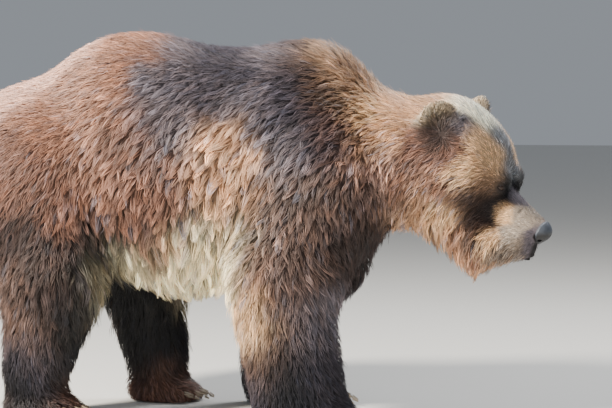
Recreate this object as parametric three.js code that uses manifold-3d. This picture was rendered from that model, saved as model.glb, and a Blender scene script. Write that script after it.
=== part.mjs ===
// A life-size brown bear walking, as a museum model: the outer shape of the animal out to the tips of
// its coat, parted by thin cuts into the pieces that a person would name.
// Millimetres, +X towards the head, +Y to the bear's left, +Z up, the floor at z = 0.

import * as THREE from "three";
import { mergeVertices } from "three/addons/utils/BufferGeometryUtils.js";
import Module from "manifold-3d";

const wasm = await Module();
wasm.setup();

// ---- driving dimensions ----------------------------------------------------------------------

const CUT = 0.4; // width of the cuts that part the body
const SIDES = { right: -1, left: 1 };
const FAR = 1500; // beyond the body in any direction
const HALF_WIDTH = 420; // a little more than the body's
const TOP = 1260; // above the hump

// The trunk's masses: a centre and three radii each, out to the tips of the coat.
const RUMP = { at: [-812, 0, 725], size: [312, 255, 300] };
const LOIN = { at: [-535, 0, 845], size: [330, 262, 318] };
const BACK = { from: [-480, 0, 905], to: [0, 0, 900], thick: [235, 205], flat: 0.9 };
const BELLY = { at: [-385, 0, 690], size: [430, 292, 334] };
const RIBS = { at: [-130, 0, 745], size: [330, 262, 335] };
const HUMP = { at: [10, 0, 955], size: [200, 125, 188] };
const CHEST = { at: [88, 0, 610], size: [140, 165, 190] };
const SHOULDER = { at: [48, 150, 690], size: [185, 125, 260] };
const UPPER_ARM = { at: [42, 175, 450], size: [126, 105, 120] };
const NECK = { from: [95, 0, 800], to: [400, -20, 752], thick: [230, 194], flat: 0.84 };
const RUFF = { from: [420, -30, 625], to: [528, -40, 527], thick: [76, 90] }; // hair under the jaw
const TAIL = { from: [-1075, 0, 800], to: [-1112, 0, 715], thick: [46, 30] };

// Each leg's joints, from the body down. Sizes are radii, with the hair; flat is width over depth.
const FORELEGS = {
  right: { elbow: [-42, 195, 430], wrist: [16, 200, 110] },
  left: { elbow: [-112, 195, 430], wrist: [-108, 200, 110] },
};
const FORELEG = { shoulder: [88, 165, 660], thick: [175, 168, 150], flat: 0.72 };
const HIND_LEGS = {
  right: { knee: [-735, 195, 420], hock: [-795, 200, 140], foot: [-775, 200, 0] },
  left: { knee: [-565, 185, 430], hock: [-528, 200, 140], foot: [-504, 200, 0] },
};
const HIND_LEG = { hip: [-815, 130, 700], thick: [250, 172, 110], flat: 0.8 };

// Paws, measured forward from the ankle.
const FOREPAW = { reach: 196, heel: -98, width: 98, height: 62 };
const HIND_PAW = { reach: 135, heel: -112, width: 86, height: 58 };
const TOES = 5;
const TOE = { length: 36, width: 21, height: 30, spread: 30, sunk: 4 };
// Claws: the root lies in the toe, so far ahead of its middle and above the floor.
const FORE_CLAW = { length: 74, thick: 10, droop: 22, root: 12, height: 36, tilt: 4 };
const HIND_CLAW = { length: 62, thick: 9, droop: 15, root: 14, height: 32, tilt: 6 };

// The head has a frame of its own: x along the skull to the nose, z to the crown.
const HEAD = { at: [500, -20, 850], pitch: 35, yaw: -15, roll: 3 };
const EYE = { at: [184, 63, -44], radius: 12.5, outward: [9, 12, 0], opening: [16, 16, 11] };
const EAR = { at: [-56, 136, 24], wide: 59, tall: 66, thick: 30 };
const NOSE = { at: [362, 0, -91], size: [37, 41, 34] };
const NOSTRIL = { at: [374, 20, -104], size: [20, 8, 9] };
const MOUTH = { corner: [230, 0, -258], tilt: -30 };

// The boxes that the body's large pieces are worked out in.
const UNDER = 100; // the fields go on this far below the floor
const TRUNK_BOX = { low: [-1250, -HALF_WIDTH, 100], high: [520, HALF_WIDTH, TOP] };
const NECK_BOX = { low: [-100, -HALF_WIDTH, 200], high: [520, HALF_WIDTH, TOP] };
const HEAD_BOX = { low: [250, -HALF_WIDTH, 380], high: [820, HALF_WIDTH, TOP] };

// Where the body is parted.
const HEAD_CUT = { at: [368, -5, 800], facing: [0.97, -0.24, 0] };
const NECK_CUT = { at: [205, 0, 800], facing: [0.93, 0, 0.37] };
const LEG_INNER = 72; // how far from the middle the legs' share of the belly starts
const LEG_TOP = 430; // below this height all of a leg is its own, above it only a round patch
const LEG_SPLITS = {
  fore: {
    names: ["foreleg", "forepaw"],
    joint: 118,
    patch: { x: { right: 8, left: -45 }, out: 300, z: 560, size: [212, 205, 255] },
    span: { right: [-300, 260], left: [-335, 260] },
  },
  hind: {
    names: ["hind_leg", "hind_paw"],
    joint: 124,
    patch: { x: { right: -835, left: -740 }, out: 310, z: 520, size: [292, 226, 300] },
    span: { right: [-1200, -480], left: [-1200, -345] },
  },
};
const TAIL_SPLIT = { at: [-1135, 0, 760], size: [62, 52, 92] };
const JAW_SPLIT = { length: 260, width: 300, depth: 220 };
const EAR_ROOT = 14; // how far an ear's share reaches round it

// Edge length of the facets, finer where the shape is.
const CELL = { trunk: 112, neck: 90, leg: 90, paw: 41, head: 38, ear: 19, tail: 54, nose: 28 };

// ---- fields: each gives the distance to a surface, negative inside ----------------------------

const radians = THREE.MathUtils.degToRad;
const mirror = ([x, y, z], side) => [x, side * y, z];
const bothSides = (make) => Object.values(SIDES).map(make);
const sides = Object.keys(SIDES);

// An ellipsoid.
function egg([cx, cy, cz], [rx, ry, rz]) {
  return (px, py, pz) => {
    const [x, y, z] = [px - cx, py - cy, pz - cz];
    const near = Math.hypot(x / rx, y / ry, z / rz);
    const slope = Math.hypot(x / rx ** 2, y / ry ** 2, z / rz ** 2);
    return slope === 0 ? -Math.min(rx, ry, rz) : (near * (near - 1)) / slope;
  };
}

// A limb with round ends from a to b, flattened sideways.
function limb([ax, ay, az], [bx, by, bz], [ra, rb], flat = 1) {
  const [dx, dy, dz] = [bx - ax, by - ay, bz - az];
  const squared = dx * dx + dy * dy + dz * dz;
  return (px, py, pz) => {
    const [x, y, z] = [px - ax, py - ay, pz - az];
    const t = Math.min(Math.max((x * dx + y * dy + z * dz) / squared, 0), 1);
    const gap = Math.hypot(x - t * dx, (y - t * dy) / flat, z - t * dz) - (ra + (rb - ra) * t);
    return gap * Math.min(flat, 1);
  };
}

// The union of fields, with fillets about k wide between them.
function blend(k, ...fields) {
  return (x, y, z) => {
    let d = fields[0](x, y, z);
    for (let i = 1; i < fields.length; i++) {
      const e = fields[i](x, y, z);
      const h = Math.max(k - Math.abs(d - e), 0) / k;
      d = Math.min(d, e) - (h * h * k) / 4;
    }
    return d;
  };
}

// A field with a tool cut out of it, and the edge rounded by k.
function carve(k, field, tool) {
  const rest = blend(k, (x, y, z) => -field(x, y, z), tool);
  return (x, y, z) => -rest(x, y, z);
}

// A field given in a frame that a matrix places in the world.
function placed(matrix, field) {
  const m = matrix.clone().invert().elements;
  return (x, y, z) =>
    field(
      m[0] * x + m[4] * y + m[8] * z + m[12],
      m[1] * x + m[5] * y + m[9] * z + m[13],
      m[2] * x + m[6] * y + m[10] * z + m[14],
    );
}

// ---- the head, in its own frame ---------------------------------------------------------------

const WORLD = new THREE.Matrix4();

function frameAt(position, rotation) {
  return new THREE.Matrix4().compose(new THREE.Vector3(...position), rotation, new THREE.Vector3(1, 1, 1));
}

const headTurn = new THREE.Euler(radians(HEAD.roll), radians(HEAD.pitch), radians(HEAD.yaw), "ZYX");
const headFrame = frameAt(HEAD.at, new THREE.Quaternion().setFromEuler(headTurn));

function skull() {
  return blend(
    46,
    egg([-34, 0, -22], [142, 132, 112]), // cranium
    egg([66, 0, -4], [96, 86, 74]), // forehead
    ...bothSides((s) => egg([36, s * 88, -66], [124, 80, 106])), // cheek muscles
    egg([66, 0, -150], [146, 108, 84]), // jowls
  );
}

function face() {
  return blend(
    22,
    ...bothSides((s) => egg([160, s * 44, -20], [44, 38, 27])), // brow ridges
    ...bothSides((s) => egg([168, s * 54, -54], [40, 34, 36])), // rims of the eyes
    limb([180, 0, -110], [308, 0, -112], [68, 53]), // muzzle
    ...bothSides((s) => egg([292, s * 27, -150], [56, 38, 48])), // upper lips
    limb([110, 0, -195], [318, 0, -195], [58, 31], 1.1), // lower jaw
    egg([340, 0, -162], [25, 31, 27]), // front of the upper lip
    egg([342, 0, -186], [28, 27, 17]), // lower lip
    egg([349, 0, -92], [33, 33, 28]), // nose
  );
}

function earFrame(side) {
  const up = new THREE.Vector3(-0.5, side * 0.3, 0.82).normalize();
  const facing = new THREE.Vector3(0.5, side * 0.8, 0.1);
  facing.addScaledVector(up, -facing.dot(up)).normalize();
  const across = new THREE.Vector3().crossVectors(facing, up);
  const axes = new THREE.Matrix4().makeBasis(across, facing, up);
  const turn = new THREE.Quaternion().setFromRotationMatrix(axes);
  return headFrame.clone().multiply(frameAt(mirror(EAR.at, side), turn));
}

// An ear: a round cup, open to the front and side.
function ear(side) {
  const cup = carve(
    12,
    egg([0, 0, 0], [EAR.wide, EAR.thick, EAR.tall]),
    egg([0, EAR.thick * 0.95, 4], [EAR.wide * 0.74, EAR.thick * 0.9, EAR.tall * 0.74]),
  );
  return placed(earFrame(side), cup);
}

const head = placed(headFrame, blend(30, skull(), face()));

// ---- the body ---------------------------------------------------------------------------------

function trunk() {
  return blend(
    70,
    egg(RUMP.at, RUMP.size),
    egg(LOIN.at, LOIN.size),
    limb(BACK.from, BACK.to, BACK.thick, BACK.flat),
    egg(BELLY.at, BELLY.size),
    egg(RIBS.at, RIBS.size),
    egg(HUMP.at, HUMP.size),
    egg(CHEST.at, CHEST.size),
    ...bothSides((s) => egg(mirror(SHOULDER.at, s), SHOULDER.size)),
  );
}

function foreleg(side) {
  const s = SIDES[side];
  const { elbow, wrist } = FORELEGS[side];
  const [top, middle, low] = FORELEG.thick;
  return blend(
    50,
    limb(mirror(FORELEG.shoulder, s), mirror(elbow, s), [top, middle], FORELEG.flat),
    limb(mirror(elbow, s), mirror(wrist, s), [middle, low], FORELEG.flat),
    egg(mirror(UPPER_ARM.at, s), UPPER_ARM.size),
    paw(forepawPlace(side), FOREPAW),
  );
}

function hindLeg(side) {
  const s = SIDES[side];
  const { knee, hock } = HIND_LEGS[side];
  const [top, middle, low] = HIND_LEG.thick;
  return blend(
    50,
    limb(mirror(HIND_LEG.hip, s), mirror(knee, s), [top, middle], HIND_LEG.flat),
    limb(mirror(knee, s), mirror(hock, s), [middle, low], HIND_LEG.flat),
    paw(hindPawPlace(side), HIND_PAW),
  );
}

const forepawPlace = (side) => mirror(FORELEGS[side].wrist, SIDES[side]);
const hindPawPlace = (side) => mirror(HIND_LEGS[side].foot, SIDES[side]);
const foreToes = (side) => toePlaces(forepawPlace(side), FOREPAW);
const hindToes = (side) => toePlaces(hindPawPlace(side), HIND_PAW);

// Places of the toes across a paw: the middle ones reach furthest.
function toePlaces([x, y], { reach, width }) {
  return Array.from({ length: TOES }, (_, i) => {
    const across = (2 * i) / (TOES - 1) - 1;
    const ahead = reach - TOE.length - TOE.spread * across ** 2;
    return [x + ahead, y + across * (width - TOE.width), TOE.height - TOE.sunk];
  });
}

function paw(place, size) {
  const [x, y] = place;
  const middle = (size.reach + size.heel) / 2;
  return blend(
    16,
    egg([x + middle - 14, y, size.height * 0.5], [(size.reach - size.heel) / 2, size.width, size.height]),
    ...toePlaces(place, size).map((toe) => egg(toe, [TOE.length, TOE.width, TOE.height])),
  );
}

const body = blend(
  60,
  trunk(),
  limb(NECK.from, NECK.to, NECK.thick, NECK.flat),
  blend(18, head, ...bothSides(ear)),
  limb(RUFF.from, RUFF.to, RUFF.thick),
  ...sides.map(foreleg),
  ...sides.map(hindLeg),
  limb(TAIL.from, TAIL.to, TAIL.thick),
);

// ---- from fields to solids --------------------------------------------------------------------

// A field's surface inside a box, as a closed mesh of square cells, with its points on the surface.
function surface(field, { min, max }, cell) {
  const low = min.toArray();
  const [nx, ny, nz] = max.toArray().map((v, i) => Math.ceil((v - low[i]) / cell) + 1);
  const index = (i, j, k) => (k * ny + j) * nx + i;
  const values = new Float64Array(nx * ny * nz);
  const eachPlace = (visit, margin = 0) => {
    for (let k = 0; k < nz - margin; k++)
      for (let j = 0; j < ny - margin; j++) for (let i = 0; i < nx - margin; i++) visit(i, j, k);
  };
  eachPlace((i, j, k) => {
    const onEdge = i * j * k === 0 || i === nx - 1 || j === ny - 1 || k === nz - 1;
    const d = field(low[0] + i * cell, low[1] + j * cell, low[2] + k * cell);
    values[index(i, j, k)] = onEdge ? Math.max(d, cell / 2) : d;
  });
  const positions = [];
  const pointOf = new Map();
  eachPlace((i, j, k) => {
    const point = crossingPoint(values, index, [i, j, k]);
    if (!point) return;
    const place = point.map((v, axis) => low[axis] + v * cell);
    pointOf.set(index(i, j, k), positions.length / 3);
    positions.push(...ontoSurface(field, place, cell));
  }, 1);
  const triangles = [];
  eachPlace((i, j, k) => {
    for (let axis = 0; axis < 3; axis++) {
      const quad = quadRound(values, pointOf, index, [i, j, k], axis);
      if (quad) triangles.push(...split(quad, positions));
    }
  }, 1);
  const geometry = new THREE.BufferGeometry();
  geometry.setAttribute("position", new THREE.Float32BufferAttribute(positions, 3));
  geometry.setIndex(triangles);
  return geometry;
}

// The mean of the points where a cell's edges cross the surface, in cells, or null.
function crossingPoint(values, index, cell) {
  const sum = [0, 0, 0];
  let crossings = 0;
  for (let axis = 0; axis < 3; axis++)
    for (let corner = 0; corner < 4; corner++) {
      const start = [...cell];
      start[(axis + 1) % 3] += corner & 1;
      start[(axis + 2) % 3] += corner >> 1;
      const end = [...start];
      end[axis] += 1;
      const a = values[index(...start)];
      const b = values[index(...end)];
      if (a < 0 === b < 0) continue;
      start[axis] += a / (a - b);
      start.forEach((v, n) => (sum[n] += v));
      crossings += 1;
    }
  return crossings ? sum.map((v) => v / crossings) : null;
}

// Moves a point onto the surface by a few Newton steps, unless they lead more than half a cell away.
function ontoSurface(field, start, cell) {
  const h = 0.5;
  let [x, y, z] = start;
  for (let step = 0; step < 3; step++) {
    const d = field(x, y, z);
    const slope = [
      (field(x + h, y, z) - field(x - h, y, z)) / (2 * h),
      (field(x, y + h, z) - field(x, y - h, z)) / (2 * h),
      (field(x, y, z + h) - field(x, y, z - h)) / (2 * h),
    ];
    const squared = slope[0] ** 2 + slope[1] ** 2 + slope[2] ** 2;
    if (squared < 1e-3) break;
    [x, y, z] = [x, y, z].map((v, axis) => v - (d * slope[axis]) / squared);
  }
  const moved = Math.hypot(x - start[0], y - start[1], z - start[2]);
  return moved < cell / 2 ? [x, y, z] : start;
}

// The four points round a grid edge that crosses the surface, in order as seen from outside, or null.
function quadRound(values, pointOf, index, place, axis) {
  const next = [...place];
  next[axis] += 1;
  const a = values[index(...place)];
  const b = values[index(...next)];
  if (a < 0 === b < 0) return null;
  const round = [[-1, -1], [0, -1], [0, 0], [-1, 0]];
  const corners = round.map(([du, dv]) => {
    const cell = [...place];
    cell[(axis + 1) % 3] += du;
    cell[(axis + 2) % 3] += dv;
    return pointOf.get(index(...cell));
  });
  return a > 0 ? corners.reverse() : corners;
}

// Two triangles that split a quad along its shorter diagonal.
function split([p, q, r, s], positions) {
  const span = (a, b) => Math.hypot(...[0, 1, 2].map((n) => positions[3 * a + n] - positions[3 * b + n]));
  return span(p, r) <= span(q, s) ? [p, q, r, p, r, s] : [p, q, s, q, r, s];
}

function solid(geometry) {
  const bare = geometry.clone();
  bare.deleteAttribute("normal");
  bare.deleteAttribute("uv");
  const merged = mergeVertices(bare, 1e-3);
  return new wasm.Manifold(
    new wasm.Mesh({
      numProp: 3,
      vertProperties: merged.attributes.position.array,
      triVerts: new Uint32Array(merged.index.array),
    }),
  );
}

function geometryOf(manifold) {
  const mesh = manifold.getMesh();
  const geometry = new THREE.BufferGeometry();
  geometry.setAttribute("position", new THREE.BufferAttribute(mesh.vertProperties, 3));
  geometry.setIndex(new THREE.BufferAttribute(mesh.triVerts, 1));
  geometry.computeVertexNormals();
  return geometry;
}

// ---- regions that part the body ---------------------------------------------------------------

// Everything on the side of a plane that it faces, from half a cut beyond it.
function beyond({ at, facing }) {
  const normal = new THREE.Vector3(...facing).normalize();
  const turn = new THREE.Quaternion().setFromUnitVectors(new THREE.Vector3(1, 0, 0), normal);
  const box = new THREE.BoxGeometry(2 * FAR, 4 * FAR, 4 * FAR).translate(FAR + CUT / 2, 0, 0);
  return solid(box.applyQuaternion(turn).translate(...at));
}

const behind = ({ at, facing }) => beyond({ at, facing: facing.map((v) => -v) });
const above = (height) => beyond({ at: [0, 0, height], facing: [0, 0, 1] });
const below = (height) => beyond({ at: [0, 0, height], facing: [0, 0, -1] });
const aboveFloor = () => above(-CUT / 2); // its lower face is the floor

// An ellipsoid in a frame that a matrix places, wider by grow.
function eggRegion(matrix, at, size, grow = 0) {
  const ball = new THREE.SphereGeometry(1, 12, 8).scale(...size.map((r) => r + grow)).translate(...at);
  return solid(ball.applyMatrix4(matrix));
}

function boxRegion(low, high, grow = 0) {
  const size = high.map((v, i) => v - low[i] + 2 * grow);
  const middle = high.map((v, i) => (v + low[i]) / 2);
  return solid(new THREE.BoxGeometry(...size).translate(...middle));
}

// A leg's share of the body: a round patch over the shoulder or thigh, and all that is under it.
function legRegion(side, { patch, span }, grow = 0) {
  const s = SIDES[side];
  const [rear, front] = span[side];
  const across = [s * LEG_INNER, s * FAR].sort((a, b) => a - b);
  const round = eggRegion(WORLD, [patch.x[side], s * patch.out, patch.z], patch.size, grow);
  return round.add(boxRegion([rear, across[0], -FAR], [front, across[1], LEG_TOP], grow));
}

function jawRegion(grow = 0) {
  const { length, width, depth } = JAW_SPLIT;
  const turn = new THREE.Quaternion().setFromEuler(new THREE.Euler(0, radians(MOUTH.tilt), 0));
  const under = new THREE.BoxGeometry(length + 2 * grow, width, depth + 2 * grow);
  under.translate(length / 2, 0, -depth / 2);
  return solid(under.applyMatrix4(frameAt(MOUTH.corner, turn)).applyMatrix4(headFrame));
}

const noseRegion = (grow = 0) => eggRegion(headFrame, NOSE.at, NOSE.size, grow);
const earRegion = (side, grow = 0) =>
  eggRegion(earFrame(SIDES[side]), [0, 0, 0], [EAR.wide, EAR.thick, EAR.tall], EAR_ROOT + grow);
const nostril = (side) => eggRegion(headFrame, mirror(NOSTRIL.at, SIDES[side]), NOSTRIL.size);
const eyeball = (side, grow = 0) =>
  eggRegion(headFrame, mirror(EYE.at, SIDES[side]), [EYE.radius, EYE.radius, EYE.radius], grow);
const eyeSocket = (side) => {
  const place = EYE.at.map((v, axis) => v + EYE.outward[axis]);
  return eggRegion(headFrame, mirror(place, SIDES[side]), EYE.opening);
};

const join = (solids) => solids.reduce((all, one) => all.add(one));

// ---- the pieces -------------------------------------------------------------------------------

const matte = (color) => new THREE.MeshStandardMaterial({ color, roughness: 0.85, metalness: 0 });
const shiny = (color, roughness) => new THREE.MeshStandardMaterial({ color, roughness, metalness: 0 });
const COAT = {
  trunk: matte(0x8c6646),
  neck: matte(0x8a6746),
  tail: matte(0x5d4636),
  head: matte(0xa5835c),
  ear: matte(0x6d4f3b),
  leg: matte(0x4f3a31),
  paw: matte(0x33292a),
};
const CLAW_HORN = shiny(0x6e6152, 0.45);
const NOSE_SKIN = shiny(0x25252a, 0.4);
const EYE_SURFACE = shiny(0x120c09, 0.05);

const group = new THREE.Group();
group.name = "bear";

function add(name, geometry, material) {
  const mesh = new THREE.Mesh(geometry, material);
  mesh.name = name;
  group.add(mesh);
}

// The body's solid between two corners of a box, with facets of a given size.
const bodyWithin = ({ low, high }, cell) =>
  solid(surface(body, new THREE.Box3(new THREE.Vector3(...low), new THREE.Vector3(...high)), cell));

// The body's solid within a small region.
function bodyIn(region, cell) {
  const { min, max } = region.boundingBox();
  const margin = 3 * cell;
  const box = { low: min.map((v) => v - margin), high: max.map((v) => v + margin) };
  return bodyWithin(box, cell).intersect(region);
}

function allLegRegions(grow) {
  const splits = Object.values(LEG_SPLITS);
  return join(sides.flatMap((side) => splits.map((split) => legRegion(side, split, grow))));
}

function addTrunk() {
  const whole = bodyWithin(TRUNK_BOX, CELL.trunk).intersect(behind(NECK_CUT));
  const tail = eggRegion(WORLD, TAIL_SPLIT.at, TAIL_SPLIT.size, CUT);
  add("trunk", geometryOf(whole.subtract(allLegRegions(CUT)).subtract(tail)), COAT.trunk);
}

function addNeck() {
  const whole = bodyWithin(NECK_BOX, CELL.neck);
  const between = whole.intersect(beyond(NECK_CUT)).intersect(behind(HEAD_CUT));
  add("neck", geometryOf(between.subtract(allLegRegions(CUT))), COAT.neck);
}

function addTail() {
  add("tail", geometryOf(bodyIn(eggRegion(WORLD, TAIL_SPLIT.at, TAIL_SPLIT.size), CELL.tail)), COAT.tail);
}

function addLeg(end, side) {
  const { names, joint } = LEG_SPLITS[end];
  const region = legRegion(side, LEG_SPLITS[end]);
  const within = region.intersect(boxRegion([-FAR, -HALF_WIDTH, -UNDER], [FAR, HALF_WIDTH, TOP]));
  add(`${names[0]}_${side}`, geometryOf(bodyIn(within.intersect(above(joint)), CELL.leg)), COAT.leg);
  const foot = bodyIn(within.intersect(below(joint)).intersect(aboveFloor()), CELL.paw);
  add(`${names[1]}_${side}`, geometryOf(foot.subtract(addClaws(end, side))), COAT.paw);
}

// A claw along +X: a cone that bends down to its tip.
function clawShape({ length, thick, droop }, grow = 0) {
  const profile = [[0, 0], [thick + grow, 0], [0.75 * thick + grow, 0.55 * length], [0, length + grow]];
  const outline = profile.map(([radius, along]) => new THREE.Vector2(radius, along));
  const claw = new THREE.LatheGeometry(outline, 6).rotateZ(-Math.PI / 2).scale(1, 0.8, 1);
  const places = claw.attributes.position;
  for (let i = 0; i < places.count; i++)
    places.setZ(i, places.getZ(i) - droop * (places.getX(i) / length) ** 2);
  return claw;
}

// Adds a paw's claws, and gives the solid that makes room for them.
function addClaws(end, side) {
  const [toes, claw] = end === "fore" ? [foreToes(side), FORE_CLAW] : [hindToes(side), HIND_CLAW];
  const rooms = toes.map(([x, y], i) => {
    const set = (shape) => shape.rotateY(radians(claw.tilt)).translate(x + claw.root, y, claw.height);
    add(`claw_${end}_${side}_${i + 1}`, set(clawShape(claw)), CLAW_HORN);
    return solid(set(clawShape(claw, CUT)));
  });
  return join(rooms);
}

function addHead() {
  const front = bodyWithin(HEAD_BOX, CELL.head).intersect(beyond(HEAD_CUT));
  const hollows = sides.flatMap((side) => [earRegion(side, CUT), eyeball(side, CUT), eyeSocket(side)]);
  add("head", geometryOf(front.subtract(join([jawRegion(CUT), noseRegion(CUT), ...hollows]))), COAT.head);
  add("lower_jaw", geometryOf(front.intersect(jawRegion())), COAT.head);
  add("nose", geometryOf(bodyIn(noseRegion(), CELL.nose).subtract(join(sides.map(nostril)))), NOSE_SKIN);
  for (const side of sides) {
    add(`ear_${side}`, geometryOf(bodyIn(earRegion(side), CELL.ear)), COAT.ear);
    add(`eye_${side}`, geometryOf(eyeball(side)), EYE_SURFACE);
  }
}

addTrunk();
addNeck();
addTail();
for (const side of sides) for (const end of Object.keys(LEG_SPLITS)) addLeg(end, side);
addHead();

// The origin is on the floor, under the middle of the bear.
const middle = new THREE.Box3().setFromObject(group).getCenter(new THREE.Vector3());
group.children.forEach((mesh) => mesh.geometry.translate(-middle.x, -middle.y, 0));

export default group;
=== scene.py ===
# A life-size brown bear, walking: one skin, a coat of solid tufts over it, nose, eyes and claws.
# Shapes are worked out in millimetres in the bear's own frame (+X towards the head, +Y to its left,
# the floor at z = 0) and placed in the model's frame, in metres, when they become meshes.

import math

import bpy
import numpy as np
from mathutils import Euler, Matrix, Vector, kdtree


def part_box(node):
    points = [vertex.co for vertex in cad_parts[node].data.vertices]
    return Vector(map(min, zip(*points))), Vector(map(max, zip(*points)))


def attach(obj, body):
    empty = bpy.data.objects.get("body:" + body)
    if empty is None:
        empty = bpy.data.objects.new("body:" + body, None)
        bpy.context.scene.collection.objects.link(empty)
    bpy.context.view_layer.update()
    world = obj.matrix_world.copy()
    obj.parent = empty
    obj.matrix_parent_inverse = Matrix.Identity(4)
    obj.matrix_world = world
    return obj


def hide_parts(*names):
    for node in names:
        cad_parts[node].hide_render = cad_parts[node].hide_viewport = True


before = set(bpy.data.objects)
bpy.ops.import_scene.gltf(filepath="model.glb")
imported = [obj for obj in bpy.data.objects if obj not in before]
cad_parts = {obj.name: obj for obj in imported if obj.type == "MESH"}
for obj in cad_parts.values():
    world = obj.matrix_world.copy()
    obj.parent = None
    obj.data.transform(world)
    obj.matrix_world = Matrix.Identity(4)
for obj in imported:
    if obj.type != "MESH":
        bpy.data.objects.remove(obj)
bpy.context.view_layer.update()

MM = 0.001
SIDES = {"right": -1, "left": 1}
random = np.random.default_rng(7)


# ---- the bear's form: the same masses as its solids -------------------------------------------

RUMP = ((-812, 0, 725), (312, 255, 300))
LOIN = ((-535, 0, 845), (330, 262, 318))
BACK = ((-480, 0, 905), (0, 0, 900), (235, 205), 0.9)
BELLY = ((-385, 0, 690), (430, 292, 334))
RIBS = ((-130, 0, 745), (330, 262, 335))
HUMP = ((10, 0, 955), (200, 125, 188))
CHEST = ((88, 0, 610), (140, 165, 190))
SHOULDER = ((48, 150, 690), (185, 125, 260))
UPPER_ARM = ((42, 175, 450), (126, 105, 120))
NECK = ((95, 0, 800), (400, -20, 752), (230, 194), 0.84)
RUFF = ((420, -30, 625), (528, -40, 527), (76, 90))
TAIL = ((-1075, 0, 800), (-1112, 0, 715), (46, 30))

FORELEGS = {
    "right": {"elbow": (-42, 195, 430), "wrist": (16, 200, 110)},
    "left": {"elbow": (-112, 195, 430), "wrist": (-108, 200, 110)},
}
FORELEG = {"shoulder": (88, 165, 660), "thick": (175, 168, 150), "flat": 0.72}
HIND_LEGS = {
    "right": {"knee": (-735, 195, 420), "hock": (-795, 200, 140), "foot": (-775, 200, 0)},
    "left": {"knee": (-565, 185, 430), "hock": (-528, 200, 140), "foot": (-504, 200, 0)},
}
HIND_LEG = {"hip": (-815, 130, 700), "thick": (250, 172, 110), "flat": 0.8}
FOREPAW = {"reach": 196, "heel": -98, "width": 98, "height": 62}
HIND_PAW = {"reach": 135, "heel": -112, "width": 86, "height": 58}
TOE = {"count": 5, "size": (36, 21, 30), "spread": 30}

# The head has a frame of its own: x along the skull to the nose, z to the crown.
HEAD_AT = np.array((500.0, -20.0, 850.0))
HEAD_TURN = np.array(Euler([math.radians(a) for a in (3, 35, -15)], "XYZ").to_matrix())
EYE = {"at": (184, 63, -44), "radius": 12.5, "lid": 2.4, "bare": 19}
EYE_SOCKET = ((9, 12, 0), (16, 16, 11))  # the way from the eye, and the size
EYE_SLIT = ((7, 11, 1), (12.5, 12, 6.4))
EAR = {"at": (-56, 136, 24), "wide": 59, "tall": 66, "thick": 30}
EAR_UP, EAR_FACING = (-0.5, 0.3, 0.82), (0.5, 0.8, 0.1)
EAR_HAIR = {"root": 30, "wide": 62, "tall": 90}  # where hair fans out from each ear's foot
NOSE = {"at": (362, 0, -93), "size": (38, 42, 37)}
MOUTH = {"front": (364, 0, -181), "slope": 0.577, "back": 262}

# Swellings and creases of the muzzle: place, reach and rise.
MUZZLE_FOLDS = [
    ((250, 52, -98), (26, 22, 24), 6.0),
    ((286, 40, -84), (20, 18, 14), 3.0),
    ((270, 34, -78), (5, 16, 16), -5.0),
    ((312, 50, -160), (30, 22, 28), 4.0),
    ((272, 56, -124), (26, 20, 6), -3.0),
    ((224, 52, -112), (7, 26, 34), -6.0),
    ((348, 34, -112), (6, 12, 16), -4.0),
]


def grow(x, start, length):
    """From 0 at the start to 1 a length further on."""
    return np.clip((x - start) / length, 0, 1)


def bump(x, width):
    """A smooth rise, 1 at its middle where x is 0."""
    return np.exp(-(x / width) ** 2)


def folded(q):
    """Places in the head's frame, with its right side folded onto its left."""
    return np.stack([q[:, 0], np.abs(q[:, 1]), q[:, 2]], 1)


def mirrored(place, side):
    return (place[0], side * place[1], place[2])


def unit(v):
    return v / np.maximum(np.linalg.norm(v, axis=-1, keepdims=True), 1e-9)


# Fields: each takes places (N, 3) and gives the distance to a surface, negative inside.
def egg(at, size):
    at, size = np.float32(at), np.float32(size)

    def field(p):
        q = (p - at) / size
        near = np.sqrt((q * q).sum(1))
        slope = np.sqrt(((q / size) ** 2).sum(1))
        return near * (near - 1) / np.maximum(slope, 1e-6)
    return field


def limb(a, b, thick, flat=1.0):
    a, along = np.float32(a), np.float32(b) - np.float32(a)
    squared = float(along @ along)

    def field(p):
        q = p - a
        t = np.clip(q @ along / squared, 0, 1)
        q = q - t[:, None] * along
        q[:, 1] /= flat
        gap = np.sqrt((q * q).sum(1)) - (thick[0] + (thick[1] - thick[0]) * t)
        return gap * min(flat, 1)
    return field


def blend(k, *fields):
    def field(p):
        d = fields[0](p)
        for other in fields[1:]:
            e = other(p)
            h = np.maximum(k - np.abs(d - e), 0) / k
            d = np.minimum(d, e) - h * h * k / 4
        return d
    return field


def carve(k, body, tool):
    rest = blend(k, lambda p: -body(p), tool)
    return lambda p: -rest(p)


def placed(turn, at, field):
    turn, at = np.float32(turn), np.float32(at)
    return lambda p: field((p - at) @ turn)


def both(make):
    return [make(s) for s in SIDES.values()]


def paw(place, size):
    x, y = place[0], place[1]
    length, width, height = TOE["size"]
    toes = []
    for i in range(TOE["count"]):
        across = 2 * i / (TOE["count"] - 1) - 1
        toe_x = x + size["reach"] - length - TOE["spread"] * across ** 2
        toes.append(egg((toe_x, y + across * (size["width"] - width), height - 4), TOE["size"]))
    middle = x + (size["reach"] + size["heel"]) / 2 - 14
    half = (size["reach"] - size["heel"]) / 2
    return blend(16, egg((middle, y, size["height"] / 2), (half, size["width"], size["height"])), *toes)


def leg(top, joints, shape, masses, foot):
    """A leg from the body down: two limbs, what lies on them, and its paw."""
    upper, middle, low = shape["thick"]
    return blend(
        50,
        limb(top, joints[0], (upper, middle), shape["flat"]),
        limb(joints[0], joints[1], (middle, low), shape["flat"]),
        *masses,
        foot,
    )


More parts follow.
